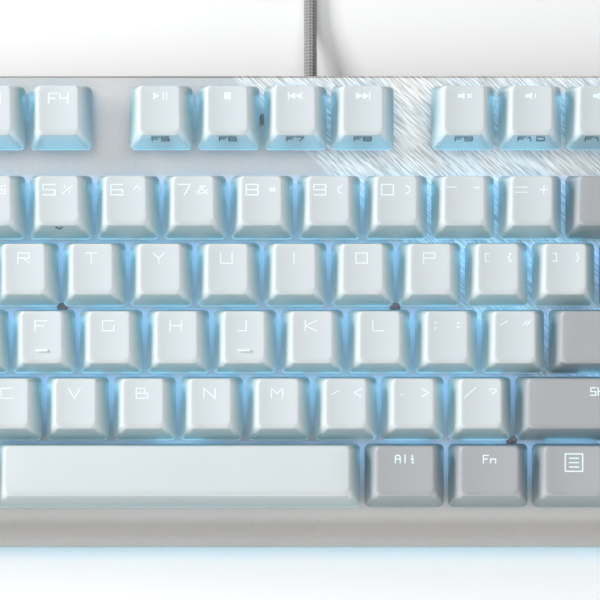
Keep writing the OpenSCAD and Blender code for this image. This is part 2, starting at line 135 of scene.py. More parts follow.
class Graph:
    """A material's node tree, with short calls to add and link nodes."""

    def __init__(self, name):
        self.material = bpy.data.materials.new(name)
        self.material.use_nodes = True
        self.nodes = self.material.node_tree.nodes
        self.shader = self.nodes["Principled BSDF"]

    def put(self, socket, value):
        """Sets a socket to a constant, or links an output to it."""
        if isinstance(value, bpy.types.NodeSocket):
            self.material.node_tree.links.new(value, socket)
        else:
            socket.default_value = value

    def node(self, kind, inputs=None, **settings):
        """A new node with those inputs and settings."""
        made = self.nodes.new(kind)
        for name, value in settings.items():
            setattr(made, name, value)
        for name, value in (inputs or {}).items():
            self.put(made.inputs[name], value)
        return made

    def shade(self, **values):
        """Fills the shader's inputs, named with underscores for spaces."""
        for name, value in values.items():
            self.put(self.shader.inputs[name.replace("_", " ")], value)

    def place(self):
        """Object coordinates."""
        return self.node("ShaderNodeTexCoord").outputs["Object"]

    def stretch(self, scale, turn=0.0):
        """Object coordinates turned about Z and scaled along each axis."""
        turned = self.node("ShaderNodeMapping", {"Vector": self.place(), "Rotation": (0, 0, turn)})
        return self.node("ShaderNodeMapping", {"Vector": turned.outputs[0], "Scale": scale}).outputs[0]

    def noise(self, place, scale, detail=3.0, roughness=0.5):
        return self.node("ShaderNodeTexNoise", {"Vector": place, "Scale": scale, "Detail": detail,
                                                "Roughness": roughness}).outputs["Fac"]

    def math(self, operation, a, b=0.0):
        """The result of one operation on a, or on a and b."""
        made = self.node("ShaderNodeMath", operation=operation)
        self.put(made.inputs[0], a)
        self.put(made.inputs[1], b)
        return made.outputs[0]

    def span(self, value, low, high, to_low=0.0, to_high=1.0):
        """The value moved from one range to another, and held within it."""
        return self.node("ShaderNodeMapRange", {"Value": value, "From Min": low, "From Max": high,
                                                "To Min": to_low, "To Max": to_high}).outputs[0]

    def mix(self, share, a, b):
        """A colour or value between a, at a share of 0, and b, at 1."""
        made = self.node("ShaderNodeMix", data_type="RGBA")
        self.put(made.inputs["Factor"], share)
        self.put(made.inputs[6], a)
        self.put(made.inputs[7], b)
        return made.outputs[2]

    def bump(self, height, strength, distance):
        return self.node("ShaderNodeBump", {"Height": height, "Strength": strength,
                                            "Distance": distance}).outputs[0]


def tone(color, share=1, most=1):
    """The colour made darker or lighter, up to a limit, and opaque."""
    return tuple(min(c * share, most) for c in color) + (1,)


# How far blotches in moulded plastic go from its colour, as a share
BLOTCHES = 0.06


def moulded(name, color, roughness=0.5, grain=0.00012, shine=0.4, size=2600):
    """Moulded plastic or rubber: a fine grain, with faint blotches in its colour."""
    g = Graph(name)
    fine = g.noise(g.place(), size, 4, 0.6)
    broad = g.noise(g.place(), 45, 3)
    g.shade(Base_Color=g.mix(broad, tone(color, 1 - BLOTCHES), tone(color, 1 + BLOTCHES)),
            Roughness=g.span(fine, 0.3, 0.7, roughness - 0.06, roughness + 0.08),
            Normal=g.bump(fine, 0.35, grain))
    g.shader.inputs["Specular IOR Level"].default_value = shine
    return g.material


# How much of each colour the skirt of a cap keeps towards its rim, as painted teal shade
SKIRT_PAINTED_SHADE = (0.44, 0.58, 0.59)
# How much lighter the sides are near the top edge, up to a limit: a painted highlight
SIDE_PAINTED_HIGHLIGHT = 1.35
# The value of "glow" that marks the top face, and the least one that gives painted light
TOP_GLOW = -0.3
GLOW_FROM = 0.15
# Colours of the painted glow: high on the walls, on the skirt, and at the rim
WALL_LIGHT = (0.18, 0.62, 0.64, 1)
SKIRT_LIGHT = (0.14, 0.5, 0.7, 1)
RIM_LIGHT = (0.6, 0.87, 1.0, 1)


def keycap_plastic(name, color, glow):
    """Satin cap plastic that the key light shines through, most near the rim, painted as emission; the sides
    have a painted highlight near the top edge and painted teal shade towards the rim.
    """
    g = Graph(name)
    fine = g.noise(g.place(), 3200, 4, 0.6)
    broad = g.noise(g.place(), 60, 2)
    lit = g.node("ShaderNodeAttribute", attribute_name="glow").outputs["Fac"]
    top = g.mix(broad, tone(color, 0.97), tone(color, 1.02))
    # Painted teal shade on the skirt, and a painted highlight on the sides near the top edge
    shaded_skirt = tuple(c * k for c, k in zip(color, SKIRT_PAINTED_SHADE)) + (1,)
    side = g.mix(g.span(lit, GLOW_FROM, 0.7), tone(color, SIDE_PAINTED_HIGHLIGHT, 0.93), shaded_skirt)
    hue = g.mix(g.span(lit, 0.4, 1.0), WALL_LIGHT, SKIRT_LIGHT)
    light_out = g.math("MAXIMUM", g.math("SUBTRACT", lit, GLOW_FROM), 0.0)
    g.shade(Base_Color=g.mix(g.span(lit, TOP_GLOW * 0.7, TOP_GLOW * 0.2), top, side),
            Roughness=g.span(fine, 0.3, 0.7, 0.26, 0.36),
            Normal=g.bump(fine, 0.12, 0.00006),
            Emission_Color=g.mix(g.span(lit, 1.0, 3.0), hue, RIM_LIGHT),
            Emission_Strength=g.math("MULTIPLY", light_out, glow))
    g.shader.inputs["Specular IOR Level"].default_value = 0.45
    return g.material


def led_side(g):
    """How far back a point lies within its key: 0 at the front, 1 at the back, where the LED is."""
    y, z = (g.node("ShaderNodeSeparateXYZ", {"Vector": g.place()}).outputs[i] for i in (1, 2))
    along = g.math("ADD", g.math("MULTIPLY", g.math("SUBTRACT", y, DECK_SHIFT), math.cos(TILT)),
                   g.math("MULTIPLY", g.math("SUBTRACT", z, DECK_H), math.sin(TILT)))
    jump = g.math("MULTIPLY", g.math("GREATER_THAN", along, (ROW_Y[0] + ROW_Y[1]) / 2),
                  ROW_Y[0] - ROW_Y[1] - PITCH)
    steps = g.math("DIVIDE", g.math("SUBTRACT", g.math("SUBTRACT", along, jump), ROW_Y[5]), PITCH)
    return g.math("FRACT", g.math("ADD", steps, 0.5))


def clear_plastic(g, cloud, color, light, strength):
    """Clear or white plastic, a little uneven, which gives light of that strength."""
    g.shade(Base_Color=g.mix(cloud, tone(color, 0.9), tone(color)),
            Roughness=0.3,
            Emission_Color=tone(light),
            Emission_Strength=strength)
    return g.material


# The painted glow at the front of a switch, as a share of that at its back
FRONT_LIGHT = 0.04


def lit_cover(name, color, light, strength):
    """Clear plastic over the LED, with painted glow: bright at the back of each switch and dim at its front.
    """
    g = Graph(name)
    share = g.math("ADD", g.math("POWER", led_side(g), 4.0), FRONT_LIGHT)
    return clear_plastic(g, g.noise(g.place(), 400, 3), color, light, g.math("MULTIPLY", share, strength))


def lit_plastic(name, color, light, strength):
    """Clear or white plastic with the key light inside it, as emission: the LED's own lens, or painted glow
    in legends, stems and stabilizer housings.
    """
    g = Graph(name)
    cloud = g.noise(g.place(), 400, 3)
    return clear_plastic(g, cloud, color, light, g.span(cloud, 0.3, 0.7, strength * 0.85, strength * 1.15))


# The hairlines start where x plus y passes this, with a ragged edge this wide
HAIRLINES_FROM = 46.5 * MM
HAIRLINES_EDGE = 2 * MM
HAIRLINE_SLANT = math.radians(43)


def spill_light(g, x, y):
    """Painted light on the plate from under the caps of the main block, most at the back of each key and
    dimmed between the rows.
    """
    middle = (ROW_Y[1] + ROW_Y[5]) / 2
    off_x = g.math("ABSOLUTE", g.math("SUBTRACT", x, (MAIN_BLOCK_U - MATRIX_U) / 2 * PITCH))
    off_y = g.math("ABSOLUTE", g.math("SUBTRACT", y, middle))
    inside = g.math("MULTIPLY", g.math("LESS_THAN", off_x, (MAIN_BLOCK_U * PITCH - SIDE_GAP) / 2),
                    g.math("LESS_THAN", off_y, (ROW_Y[1] - ROW_Y[5] + CAP_DEPTH) / 2))
    back = led_side(g)
    between_rows = g.span(back, 0.9, 1.0, 1.0, 0.3)
    return g.math("MULTIPLY", inside, g.math("MULTIPLY", g.math("POWER", back, 1.6), between_rows))


def plate_metal():
    """Satin anodized aluminium, with diagonal hairlines to the right of a slanting line, and painted blue
    light spilling from under the keys.
    """
    g = Graph("plate_metal")
    place = g.place()
    x, y = (g.node("ShaderNodeSeparateXYZ", {"Vector": place}).outputs[i] for i in range(2))
    wander = g.noise(g.stretch((30, 30, 30)), 1, 2)
    side = g.math("ADD", g.math("ADD", x, y),
                  g.math("MULTIPLY", g.math("SUBTRACT", wander, 0.5), 2 * HAIRLINES_EDGE))
    brushed = g.span(side, HAIRLINES_FROM, HAIRLINES_FROM + HAIRLINES_EDGE)
    strokes = g.noise(g.stretch((170, 2300, 170), HAIRLINE_SLANT), 1, 1, 0.5)
    scratches = g.noise(g.stretch((240, 3900, 240), HAIRLINE_SLANT), 1, 1, 0.5)
    lines = g.math("ADD", g.math("MULTIPLY", g.span(strokes, 0.42, 0.58), 0.55),
                   g.math("MULTIPLY", g.span(scratches, 0.42, 0.58), 0.45))
    grain = g.span(g.noise(place, 2600, 3, 0.7), 0.35, 0.65)
    cloud = g.noise(place, 35, 3)
    satin = g.mix(g.math("MULTIPLY", g.math("ADD", grain, cloud), 0.5),
                  (0.49, 0.483, 0.475, 1), (0.61, 0.6, 0.59, 1))
    hair = g.mix(lines, (0.5, 0.49, 0.475, 1), (0.98, 0.96, 0.93, 1))
    rougher = g.math("MULTIPLY", g.math("MULTIPLY", lines, brushed), 0.08)
    g.shade(Base_Color=g.mix(brushed, satin, hair),
            Metallic=0.7,
            Roughness=g.math("ADD", 0.46, rougher),
            Normal=g.bump(g.mix(brushed, g.math("MULTIPLY", grain, 0.4), lines), 0.3, 0.00008),
            # Painted blue light from the LEDs under the keys
            Emission_Color=(0.2, 0.48, 1.0, 1),
            Emission_Strength=g.math("MULTIPLY", spill_light(g, x, y), 0.45))
    return g.material


def metal(name, color, roughness=0.3, scale=(900, 900, 900)):
    """Drawn or plated metal, with fine lines along one way."""
    g = Graph(name)
    lines = g.noise(g.stretch(scale), 1, 3)
    g.shade(Base_Color=g.mix(lines, tone(color, 0.85), tone(color)),
            Metallic=1.0,
            Roughness=g.span(lines, 0.3, 0.7, roughness * 0.8, roughness * 1.25),
            Normal=g.bump(lines, 0.2, 0.00003))
    return g.material


def board_mask():
    """Solder mask over copper tracks."""
    g = Graph("board_mask")
    tracks = g.node("ShaderNodeTexBrick", {"Vector": g.stretch((1, 1, 1)), "Scale": 260.0,
                                           "Mortar Size": 0.08}).outputs["Fac"]
    g.shade(Base_Color=g.mix(tracks, (0.01, 0.05, 0.035, 1), (0.02, 0.085, 0.055, 1)),
            Roughness=0.35, Normal=g.bump(tracks, 0.3, 0.00005))
    return g.material


def braid():
    """A grey braided sleeve: strands wound both ways, over and under each other."""
    g = Graph("cable_braid")
    uv = g.node("ShaderNodeUVMap", uv_map="run").outputs[0]
    u, v = (g.node("ShaderNodeSeparateXYZ", {"Vector": uv}).outputs[i] for i in range(2))
    strands = 10
    lay_length = 2.6 * CABLE_D
    along = g.math("MULTIPLY", v, strands / lay_length)
    around = g.math("MULTIPLY", u, strands)
    one = g.math("SINE", g.math("MULTIPLY", g.math("ADD", along, around), math.pi))
    two = g.math("SINE", g.math("MULTIPLY", g.math("SUBTRACT", along, around), math.pi))
    weave = g.span(g.math("MULTIPLY", one, two), -1, 1)
    fibre = g.noise(g.stretch((1, 1, 1)), 6000, 2)
    shade = g.math("ADD", g.math("MULTIPLY", weave, 0.75), g.math("MULTIPLY", fibre, 0.25))
    g.shade(Base_Color=g.mix(shade, (0.13, 0.13, 0.135, 1), (0.5, 0.5, 0.51, 1)),
            Roughness=0.8, Normal=g.bump(weave, 0.7, 0.0003))
    return g.material


WHITE_CAP = keycap_plastic("cap_white", (0.65, 0.71, 0.73), 0.075)
GREY_CAP = keycap_plastic("cap_grey", (0.42, 0.435, 0.455), 0.03)
# The lit legends and the stems glow with painted light from the LEDs below them
LEGEND = lit_plastic("legend_lit", (0.74, 0.87, 0.9), (0.8, 0.97, 1.0), 0.2)
INK = moulded("legend_ink", (0.1, 0.17, 0.2), 0.5)
STEM = lit_plastic("stem_plastic", (0.5, 0.75, 0.9), (0.3, 0.65, 1.0), 0.3)


# ---- building meshes ----

def outline(half_w, front, back, corner, edge_x=6, edge_y=6, steps=5, front_corner=None):
    """A rounded rectangle as points, counter-clockwise from the front right corner."""
    fore = front_corner or corner
    radii = [fore, corner, corner, fore]
    centres = [(half_w - fore, front + fore), (half_w - corner, back - corner),
               (corner - half_w, back - corner), (fore - half_w, front + fore)]
    points = []
    for k, ((cx, cy), r) in enumerate(zip(centres, radii)):
        for i in range(steps + 1):
            a = math.radians(90 * (k - 1 + i / steps))
            points.append((cx + r * math.cos(a), cy + r * math.sin(a)))
        edges = edge_y if k % 2 == 0 else edge_x
        (nx, ny), r = centres[(k + 1) % 4], radii[(k + 1) % 4]
        a = math.radians(90 * k)
        end = (nx + r * math.cos(a), ny + r * math.sin(a))
        start = points[-1]
        points += [(start[0] + (end[0] - start[0]) * i / edges, start[1] + (end[1] - start[1]) * i / edges)
                   for i in range(1, edges)]
    return points


# A legend's height above its surface, its depth below it, and its step along it
LEGEND_LIFT = 0.035 * MM
LEGEND_SINK = 0.06 * MM
RIBBON_STEP = 0.7 * MM


class Form:
    """A mesh in the making: skins, ribbons and patches, each with a material and a glow."""

    def __init__(self):
        self.points, self.faces, self.kinds, self.glow = [], [], [], []

    def skin(self, rings, kind=0, glow=None):
        """A closed skin over rings of points; a ring of one point is a tip."""
        starts = []
        for k, ring in enumerate(rings):
            starts.append(len(self.points))
            self.points += [Vector(p) for p in ring]
            self.glow += [glow[k] if glow else 0.0] * len(ring)
        for k in range(len(rings) - 1):
            a, b, na, nb = starts[k], starts[k + 1], len(rings[k]), len(rings[k + 1])
            for i in range(max(na, nb)):
                j = (i + 1) % max(na, nb)
                face = ([a] if na == 1 else [a + i, a + j]) + ([b] if nb == 1 else [b + j, b + i])
                self.faces.append(face)
                self.kinds.append(kind)

    def prism(self, shape, low, high, kind=0, glow=0.0, ease=0.15 * MM):
        """An upright prism with eased top and bottom edges, over a star-shaped outline."""
        cx = sum(p[0] for p in shape) / len(shape)
        cy = sum(p[1] for p in shape) / len(shape)
        shrink = 1 - ease / 3 / MM
        small = [(cx + (x - cx) * shrink, cy + (y - cy) * shrink) for x, y in shape]
        rings = [[(cx, cy, low)], [(x, y, low) for x, y in small], [(x, y, low + ease) for x, y in shape],
                 [(x, y, high - ease) for x, y in shape], [(x, y, high) for x, y in small], [(cx, cy, high)]]
        self.skin(rings, kind, [glow] * len(rings))

    def ribbon(self, surface, line, width, kind):
        """A raised stroke along a line drawn on a surface."""
        closed = line[0] == line[-1]
        dense = []
        for p, q in zip(line, line[1:]):
            cuts = max(1, math.ceil(math.dist(p, q) / RIBBON_STEP))
            dense += [(p[0] + (q[0] - p[0]) * i / cuts, p[1] + (q[1] - p[1]) * i / cuts)
                      for i in range(cuts)]
        if not closed:
            dense.append(line[-1])
        n = len(dense)
        rings = []
        for i, p in enumerate(dense):
            before = dense[i - 1] if i or closed else None
            after = dense[(i + 1) % n] if i < n - 1 or closed else None
            way_in = Vector(p) - Vector(before) if before else Vector(after) - Vector(p)
            way_out = Vector(after) - Vector(p) if after else way_in
            way_in.normalize()
            way_out.normalize()
            normal = Vector((-way_in.y - way_out.y, way_in.x + way_out.x))
            normal.normalize()
            spread = width / 2 / max(normal.dot(Vector((-way_in.y, way_in.x))), 0.5)
            push = Vector((0, 0))
            if not closed and i == 0:
                push = -way_out * width / 2
            if not closed and i == n - 1:
                push = way_in * width / 2
            left = Vector(p) + normal * spread + push
            right = Vector(p) - normal * spread + push
            rings.append([surface(*right, LEGEND_LIFT), surface(*left, LEGEND_LIFT),
                          surface(*left, -LEGEND_SINK), surface(*right, -LEGEND_SINK)])
        start = len(self.points)
        for ring in rings:
            self.points += [Vector(p) for p in ring]
        self.glow += [0.0] * (4 * n)
        for i in range(n if closed else n - 1):
            a, b = start + 4 * i, start + 4 * ((i + 1) % n)
            self.faces += [[a + k, b + k, b + (k + 1) % 4, a + (k + 1) % 4] for k in range(4)]
            self.kinds += [kind] * 4
        if not closed:
            last = start + 4 * (n - 1)
            self.faces += [[start, start + 1, start + 2, start + 3], [last + 3, last + 2, last + 1, last]]
            self.kinds += [kind] * 2

    def patch(self, surface, shape, kind):
        """A raised filled shape on a surface; its points run counter-clockwise."""
        n, start = len(shape), len(self.points)
        self.points += [Vector(surface(*p, LEGEND_LIFT)) for p in shape]
        self.points += [Vector(surface(*p, -LEGEND_SINK)) for p in shape]
        self.glow += [0.0] * (2 * n)
        self.faces += [[start + i for i in range(n)], [start + n + i for i in reversed(range(n))]]
        for i in range(n):
            j = (i + 1) % n
            self.faces.append([start + n + i, start + n + j, start + j, start + i])
        self.kinds += [kind] * (n + 2)

    def build(self, name, materials, place=Matrix.Identity(4), sharp=38):
        """Makes the object, moved to its place; edges over that many degrees stay sharp."""
        mesh = bpy.data.meshes.new(name)
        mesh.from_pydata([place @ p for p in self.points], [], self.faces)
        for m in materials:
            mesh.materials.append(m)
        mesh.polygons.foreach_set("material_index", self.kinds)
        mesh.polygons.foreach_set("use_smooth", [True] * len(self.faces))
        glow = mesh.attributes.new("glow", "FLOAT", "POINT")
        glow.data.foreach_set("value", self.glow)
        mesh.set_sharp_from_angle(angle=math.radians(sharp))
        mesh.validate()
        made = bpy.data.objects.new(name, mesh)
        bpy.context.scene.collection.objects.link(made)
        return made


# ---- legends: strokes on a grid of 5 by 5, lettered a to y from its top left ----

STROKE = 0.28 * MM
GLYPHS = {
    "A": "ufbdjy ko", "B": "uadn koyu", "C": "eauy", "D": "uadjtxu", "E": "eauy kn", "F": "eau kn",
    "G": "eauyo", "H": "au ey ko", "I": "cw", "J": "dxu", "K": "au ek ky", "L": "auy", "M": "uamey",
    "N": "uaye", "O": "aeyua", "P": "uaeok", "Q": "aeyua my", "R": "uaeok my", "S": "eakoyu", "T": "ae cw",
    "U": "auye", "V": "awe", "W": "avmxe", "X": "ay eu", "Y": "am em mw", "Z": "aeuy",
    "0": "aeyua", "1": "fbw", "2": "aeokuy", "3": "aeyu ko", "4": "ako ey", "5": "eakoyu", "6": "eauyok",
    "7": "aew", "8": "aeyua ko", "9": "okaeyu", "`": "bh", "~": "pkls on", "!": "cm rw", "@": "sqlnshb",
    "#": "bv dx fj pt", "$": "eakoyu cw", "%": "eu bg sx", "^": "kco", "&": "ygbdhpuwo", "*": "ko gs qi",
    "(": "dgqx", ")": "bisv", "-": "fi", "_": "gj", "=": "fj pt", "+": "ko cw", "[": "dbvx", "]": "bdxv",
    "{": "dchlrwx", "}": "bchnrwv", "\\": "ay", "|": "cw", ";": "gh rv", ":": "gh qr", "'": "ek",
    '"': "ck em", ",": "jp", ".": "qr", "<": "eky", ">": "aou", "/": "eu", "?": "fbdjnmr",
    "a": "koyuso", "b": "auyok", "c": "okuy", "d": "eyuko", "e": "ptoku y", "f": "dcw ln", "g": "oyuko",
    "h": "au koy", "i": "mw", "l": "cw", "m": "ukoy mw", "n": "ukoy", "o": "koyuk",
    "p": "ukotp", "r": "uko", "s": "okptyu", "t": "cwx ln", "u": "kuyo",
}
ICONS = {
    "play": ("amu", "dx ey"), "stop": ("bvxd", ""), "previous": ("kcw mey", "au"), "next": ("amu cow", "ey"),
    "mute": ("fgcwqp", "it js"), "quieter": ("fgcwqp", "is"), "louder": ("fgcwqp", "is ey"),
    "menu": ("", "auyea gi ln qs"), "diamond": ("", "cowkc"), "up": ("", "wc kco"), "down": ("", "cw kwo"),
    "left": ("", "ok cko"), "right": ("", "ko cow"), "back": ("", "ko ckw"),
}


def grid(letter, origin, size):
    """Where a grid letter lies, on a grid of that size about origin."""
    k = ord(letter) - ord("a")
    return (origin[0] + size[0] * (k % 5 / 4 - 0.5), origin[1] + size[1] * (0.5 - k // 5 / 4))


def draw(form, surface, strokes, origin, size, kind, width=STROKE):
    """Ribbons for strokes that are written as grid letters."""
    for stroke in strokes.split():
        form.ribbon(surface, [grid(c, origin, size) for c in stroke], width, kind)


def word(form, surface, text, origin, size, kind, width=STROKE):
    """Letters side by side, about origin; size is one letter's."""
    step = size[0] + 1.9 * width
    for i, c in enumerate(text):
        x = origin[0] + (i - (len(text) - 1) / 2) * step
        draw(form, surface, GLYPHS[c], (x, origin[1]), size, kind, width)


def icon(form, surface, name, origin, size, kind, width=STROKE):
    """An icon's filled shapes and strokes."""
    shapes, strokes = ICONS[name]
    for shape in shapes.split():
        points = [grid(c, origin, size) for c in shape]
        turn = sum(p[0] * q[1] - q[0] * p[1] for p, q in zip(points, points[1:] + points[:1]))
        form.patch(surface, points if turn > 0 else points[::-1], kind)
    draw(form, surface, strokes, origin, size, kind, width)


# ---- keys ----

# The materials of a key, by number, and how strongly parts of its cap glow with painted light
CAP, LIT, SLIDER, DARK = 0, 1, 2, 3
INNER_GLOW = 0.8
RIM_GLOW = 7.0
# The front of the rim is what lies before this
RIM_FRONT = -8.4 * MM
# Pieces in each straight side of a cap one unit wide
EDGES = 6
ROOF_T = 2 * MM
RIM_INSET = 0.3 * MM
RIM_H = 0.35 * MM
INNER_CORNER = 0.7 * MM
SIDE_BOW = 0.18 * MM
SPACE_CROWN = 0.35 * MM
# Where the rings of a cap lie: up its slopes, over its eased edge and in to the middle
SLOPE_STEPS = (0, 0.08, 0.2, 0.35, 0.5, 0.65, 0.8, 0.9)
EASE_STEPS = (0.25, 0.5, 0.75, 1.0)
TOP_STEPS = (0.86, 0.7, 0.52, 0.34, 0.16)


class Key:
    """A key's cap, stem and legends, about the middle of the cap's rim."""

    def __init__(self, left_u, width_u, row):
        self.form = Form()
        self.left_u, self.width_u, self.row = left_u, width_u, row
        self.half = (width_u * PITCH - SIDE_GAP) / 2
        self.front_h, self.back_h, self.run = (v * MM for v in ROW_FORM[row])
        self.roof = min(self.front_h, self.back_h) - ROOF_T
        self.top_half = self.half - SIDE_SLOPE * SIDE_H
        self.top_front = self.run - CAP_DEPTH / 2
        self.top_back = CAP_DEPTH / 2 - CAP_BACK_RUN
        self.domed = row == SPACE_ROW and width_u > WIDEST_COMMON_U
        self.edges_x = max(EDGES, round(self.width_u * EDGES))
        self.stabs = [] if width_u < NARROWEST_STABILIZED_U else [-STAB_HALF, STAB_HALF]
        if self.domed:
            self.stabs = [-SPACE_STAB_HALF, SPACE_STAB_HALF]

    def top(self, x, y, lift=0.0):
        """A point on the top face, lifted off it."""
        share = (y - self.top_front) / (self.top_back - self.top_front)
        level = self.front_h + (self.back_h - self.front_h) * share
        if self.domed:
            level -= SPACE_CROWN * min(1, (2 * share - 1) ** 2)
        else:
            level -= DISH_SAG * (1 - min(1, (x / self.top_half) ** 2))
        return (x, y, level + lift)

    def front(self, x, down, lift=0.0):
        """A point on the front slope, that far down from its upper edge."""
        slope = Vector((0, -self.run, -self.front_h)).normalized()
        normal = Vector((0, -self.front_h, self.run)).normalized()
        point = Vector((x, self.top_front, self.front_h)) + slope * down + normal * lift
        return tuple(point)

    def rim_line(self, inset, corner):
        """The outline of the rim, drawn in."""
        return outline(self.half - inset, inset - CAP_DEPTH / 2, CAP_DEPTH / 2 - inset, corner,
                       self.edges_x, EDGES)

    def top_line(self, sides, front, back, corner, front_corner=None):
        """The outline of its top, drawn in at the sides, front and back."""
        return outline(self.top_half - sides, self.top_front + front, self.top_back - back, corner,
                       self.edges_x, EDGES, front_corner=front_corner)

    def slope_ring(self, t, base, edge):
        """A ring on the slopes, at share t of the way up from the rim."""
        bow = SIDE_BOW * math.sin(math.pi * t)
        ring = []
        for (px, py), (qx, qy, qz) in zip(base, edge):
            x, y = px + (qx - px) * t, py + (qy - py) * t
            shrink = 1 - bow / max(math.hypot(x, y), 1 * MM)
            ring.append((x * shrink, y * shrink, RIM_H + (qz - RIM_H) * t))
        return ring

    def eased_ring(self, t, side, edge, inset):
        """A ring on the eased edge, at share t of a curve from the slopes to the top."""
        ring = []
        for a, e, c in zip(side, edge, (self.top(*p) for p in inset)):
            ring.append(tuple((1 - t) ** 2 * a[k] + 2 * t * (1 - t) * e[k] + t * t * c[k] for k in range(3)))
        return ring

    def shine(self, point, lit):
        """The painted glow at a point: more to the back, most at the front of the rim."""
        x, y, z = point
        if lit <= 0:
            return lit
        if y < RIM_FRONT and z < 0.5 * MM:
            return RIM_GLOW
        lit *= 0.75 + 0.5 * y / CAP_DEPTH
        on_front = y < -CAP_DEPTH / 2 + self.run * z / self.front_h + 0.4 * MM
        return 0.35 + 0.5 * lit if on_front else lit

    def cap(self):
        """The cap as one closed skin: its hollow, rim, slopes, eased edge and dished top."""
        mid = (self.top_front + self.top_back) / 2
        base = self.rim_line(0, BASE_CORNER)
        rim = self.rim_line(RIM_INSET, BASE_CORNER - RIM_INSET)
        inner = self.rim_line(WALL, INNER_CORNER)
        ceiling = self.top_line(0.9 * MM, 0.9 * MM, 1.2 * MM, 0.6 * MM)
        edge = [self.top(x, y) for x, y in self.top_line(0, 0, 0, TOP_CORNER, FRONT_CORNER)]
        inset = self.top_line(EDGE_ROUND, 2 * EDGE_ROUND, EDGE_ROUND, 0.8 * MM, 1.3 * MM)
        rings = [[(0, mid, self.roof)], [(x, y, self.roof) for x, y in ceiling],
                 [(x, y, 0.2 * MM) for x, y in inner],
                 [((ax + bx) / 2, (ay + by) / 2, 0) for (ax, ay), (bx, by) in zip(inner, base)],
                 [(x, y, 0.02 * MM) for x, y in rim]]
        glow = [INNER_GLOW, INNER_GLOW, 1.0, 1.0, 1.0]
        slopes = [self.slope_ring(t, base, edge) for t in SLOPE_STEPS]
        rings += slopes
        glow += [(1 - t) ** 0.8 for t in SLOPE_STEPS]
        rings += [self.eased_ring(t, slopes[-1], edge, inset) for t in EASE_STEPS]
        glow += [TOP_GLOW * t for t in EASE_STEPS]
        rings += [[self.top(x * k, mid + (y - mid) * k) for x, y in inset] for k in TOP_STEPS]
        rings.append([self.top(0, mid)])
        glow += [TOP_GLOW] * (len(TOP_STEPS) + 1)
        self.form.skin(rings, CAP, glow)
        self.form.glow = [self.shine(p, lit) for p, lit in zip(self.form.points, self.form.glow)]

    def stems(self):
        """The socket under the cap, and the stem with its cross; the same at each stabilizer."""
        circle = [(SOCKET_R * math.cos(math.radians(a)), SOCKET_R * math.sin(math.radians(a)))
                  for a in range(0, 360, 20)]
        arm, half = CROSS_ARM, CROSS_HALF
        plus = [(half, -arm), (half, arm), (arm, arm), (arm, half), (-arm, half), (-arm, arm), (-half, arm),
                (-half, -arm), (-arm, -arm), (-arm, -half), (arm, -half), (arm, -arm)]
        for x in [0] + self.stabs:
            half_w = STEM_HALF_W if x == 0 else STAB_STEM_HALF_W
            body = outline(half_w, -STEM_HALF_D, STEM_HALF_D, 0.4 * MM, 1, 1, 3)
            socket, slider, cross = ([(px + x, py) for px, py in shape] for shape in (circle, body, plus))
            self.form.prism(socket, STEM_TOP + 0.05 * MM, self.roof + 0.3 * MM, CAP, INNER_GLOW)
            self.form.prism(slider, STEM_LOW, STEM_TOP, SLIDER)
            self.form.prism(cross, STEM_TOP - 0.2 * MM, CROSS_TOP, SLIDER, ease=0.05 * MM)

    def homing_bar(self):
        """A raised bar for the finger to find."""
        y = self.top_front + 3.4 * MM
        half_w, half_d = 1.8 * MM, 0.32 * MM
        bar = outline(half_w, y - half_d, y + half_d, 0.3 * MM, 4, 1, 4)
        rings = []
        for k, lift in ((1.0, -0.1), (1.0, 0.35), (0.86, 0.5), (0.55, 0.56)):
            rings.append([self.top(x * (1 - (1 - k) * 0.2), y + (py - y) * k, lift * MM) for x, py in bar])
        rings = [[self.top(0, y, -0.1 * MM)]] + rings + [[self.top(0, y, 0.57 * MM)]]
        self.form.skin(rings, CAP)

    def place(self):
        """Where the key stands on the deck."""
        x = (self.left_u + self.width_u / 2 - MATRIX_U / 2) * PITCH
        return DECK @ Matrix.Translation((x, ROW_Y[self.row], CAP_LIFT))


# Sizes of one letter or sign, and how far it lies from the back edge of the top
LETTER_SIZE, LETTER_DOWN, LETTER_X = (3.2 * MM, 2.85 * MM), 4.1 * MM, -0.35 * MM
DIGIT_SIZE, DIGIT_DOWN, DIGIT_X = (3.3 * MM, 2.9 * MM), 3.9 * MM, -2.6 * MM
SYMBOL_SIZE, SYMBOL_X = (2.0 * MM, 2.2 * MM), 3.1 * MM
WIDE_SYMBOLS, WIDE_SYMBOL_X = "%&", 2.5 * MM
SIGN_PAIR_X = (-3.1 * MM, 3.3 * MM)
WIDE_SIGNS = "-=/"
WORD_SIZE, WORD_DOWN = (1.4 * MM, 2.1 * MM), 3.6 * MM
ICON_SIZE, ICON_DOWN = (3.8 * MM, 1.9 * MM), 2.9 * MM
ARROW_SIZE, MENU_SIZE, ARROW_DOWN = (3.0 * MM, 3.4 * MM), (4.9 * MM, 4.9 * MM), 4.6 * MM
F_SIZE = (2.3 * MM, 2.7 * MM)
# On the front slope, text is read from above, so its height runs down the slope
FRONT_SIZE, FRONT_DOWN = (2.1 * MM, -2.3 * MM), 3.2 * MM
MEDIA = [None] * 4 + ["play", "stop", "previous", "next", "mute", "quieter", "louder", None]
# Widths of strokes
THIN, PLAIN, MEDIUM, DIGIT_STROKE, BOLD = 0.3 * MM, 0.34 * MM, 0.36 * MM, 0.38 * MM, 0.42 * MM


def function_legend(key, text):
    """The number of a function key, or its media icon with the number on the front slope."""
    name = MEDIA[int(text[1:]) - 1]
    if name:
        icon(key.form, key.top, name, (0, key.top_back - ICON_DOWN), ICON_SIZE, LIT, PLAIN)
        word(key.form, key.front, text, (0, FRONT_DOWN), FRONT_SIZE, DARK, THIN)
    else:
        word(key.form, key.top, text, (0, key.top_back - WORD_DOWN), F_SIZE, LIT, BOLD)


